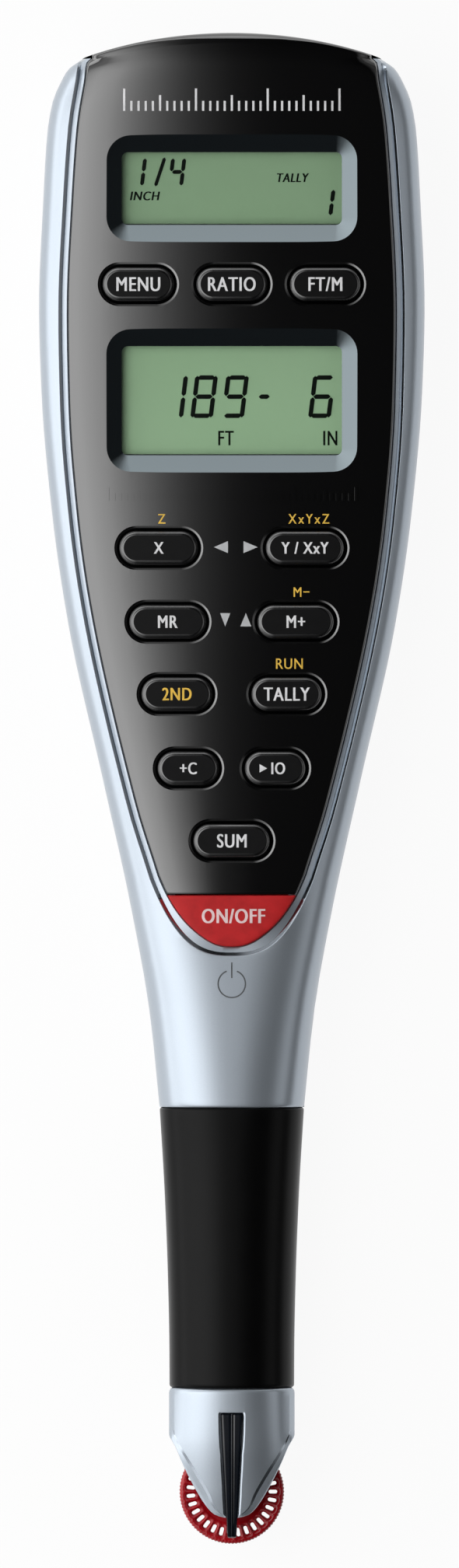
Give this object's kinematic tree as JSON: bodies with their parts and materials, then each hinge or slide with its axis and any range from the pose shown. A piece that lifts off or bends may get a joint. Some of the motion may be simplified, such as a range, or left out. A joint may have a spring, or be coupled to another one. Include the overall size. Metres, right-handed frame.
{
  "type": "digital plan measure",
  "caption": "Hand-held plan measure with a toothed measuring wheel, a pointer, two displays, pill-shaped keys, a rubber grip and a sliding battery door.",
  "frame": {"origin": "middle of the bottom of the whole part's box, lying on its back", "axes": "+Y along the body towards the display end, +Z out of the front face, +X to the right seen from the front"},
  "size_m": [0.0466, 0.183, 0.0155],
  "materials": {
    "silver_housing": "silver paint, satin",
    "black_faceplate": "high gloss",
    "clear_window": "clear, polished",
    "display_glass": "grey-green liquid crystal glass",
    "conductive_rubber": "matte",
    "board_green": "solder mask, satin",
    "chip_black": "moulded, matte",
    "component_tan": "ceramic, matte",
    "steel": "plated steel",
    "cell_steel": "bright can",
    "contact_metal": "plated spring strip",
    "grey_silicone": "matte silicone",
    "black_key": "satin moulded",
    "red_key": "satin moulded",
    "socket_black": "moulded",
    "black_rubber": "soft matte",
    "dark_pointer": "satin metallic grey",
    "red_wheel": "moulded, satin",
    "emitter_violet": "tinted resin",
    "cable_amber": "polyimide film"
  },
  "bodies": {
    "housing": {"front_shell": "silver_housing", "rear_shell": "silver_housing", "faceplate": "black_faceplate", "upper_window": "clear_window", "lower_window": "clear_window", "upper_lcd": "display_glass", "lower_lcd": "display_glass", "upper_lcd_strips": "conductive_rubber", "lower_lcd_strips": "conductive_rubber", "circuit_board": "board_green", "sensor_board": "board_green", "controller_chip": "chip_black", "light_receiver": "chip_black", "board_parts": "component_tan", "timing_crystal": "steel", "housing_screws": "steel", "board_screws": "steel", "button_cells": "cell_steel", "positive_contact": "contact_metal", "negative_contact": "contact_metal", "cell_link": "contact_metal", "key_mat": "grey_silicone", "data_socket": "socket_black", "grip_sleeve": "black_rubber", "pointer": "dark_pointer", "infrared_emitter": "emitter_violet", "sensor_cable": "cable_amber"},
    "wheel": {"measuring_wheel": "red_wheel", "wheel_axle": "steel"},
    "menu": {"menu_key": "black_key"},
    "ratio": {"ratio_key": "black_key"},
    "units": {"units_key": "black_key"},
    "length": {"length_key": "black_key"},
    "width": {"width_key": "black_key"},
    "recall": {"recall_key": "black_key"},
    "memory": {"memory_key": "black_key"},
    "second": {"second_key": "black_key"},
    "tally": {"tally_key": "black_key"},
    "plus": {"plus_key": "black_key"},
    "transfer": {"transfer_key": "black_key"},
    "sum": {"sum_key": "black_key"},
    "power": {"power_key": "red_key"},
    "door": {"battery_door": "silver_housing"}
  },
  "joints": [
    {"name": "wheel_spin", "type": "hinge", "parent": "housing", "child": "wheel", "pos_m": [0, -0.0851, 0.0072], "axis": [0, 0, 1], "continuous": true},
    {"name": "menu_press", "type": "slide", "parent": "housing", "child": "menu", "axis": [0, 0, -1], "range_m": [0, 0.0006], "stiffness_N_per_m": 800},
    {"name": "ratio_press", "type": "slide", "parent": "housing", "child": "ratio", "axis": [0, 0, -1], "range_m": [0, 0.0006], "stiffness_N_per_m": 800},
    {"name": "units_press", "type": "slide", "parent": "housing", "child": "units", "axis": [0, 0, -1], "range_m": [0, 0.0006], "stiffness_N_per_m": 800},
    {"name": "length_press", "type": "slide", "parent": "housing", "child": "length", "axis": [0, 0, -1], "range_m": [0, 0.0006], "stiffness_N_per_m": 800},
    {"name": "width_press", "type": "slide", "parent": "housing", "child": "width", "axis": [0, 0, -1], "range_m": [0, 0.0006], "stiffness_N_per_m": 800},
    {"name": "recall_press", "type": "slide", "parent": "housing", "child": "recall", "axis": [0, 0, -1], "range_m": [0, 0.0006], "stiffness_N_per_m": 800},
    {"name": "memory_press", "type": "slide", "parent": "housing", "child": "memory", "axis": [0, 0, -1], "range_m": [0, 0.0006], "stiffness_N_per_m": 800},
    {"name": "second_press", "type": "slide", "parent": "housing", "child": "second", "axis": [0, 0, -1], "range_m": [0, 0.0006], "stiffness_N_per_m": 800},
    {"name": "tally_press", "type": "slide", "parent": "housing", "child": "tally", "axis": [0, 0, -1], "range_m": [0, 0.0006], "stiffness_N_per_m": 800},
    {"name": "plus_press", "type": "slide", "parent": "housing", "child": "plus", "axis": [0, 0, -1], "range_m": [0, 0.0006], "stiffness_N_per_m": 800},
    {"name": "transfer_press", "type": "slide", "parent": "housing", "child": "transfer", "axis": [0, 0, -1], "range_m": [0, 0.0006], "stiffness_N_per_m": 800},
    {"name": "sum_press", "type": "slide", "parent": "housing", "child": "sum", "axis": [0, 0, -1], "range_m": [0, 0.0006], "stiffness_N_per_m": 800},
    {"name": "power_press", "type": "slide", "parent": "housing", "child": "power", "axis": [0, 0, -1], "range_m": [0, 0.0006], "stiffness_N_per_m": 800},
    {"name": "door_slide", "type": "slide", "parent": "housing", "child": "door", "axis": [0, -1, 0], "range_m": [0, 0.022]}
  ]
}
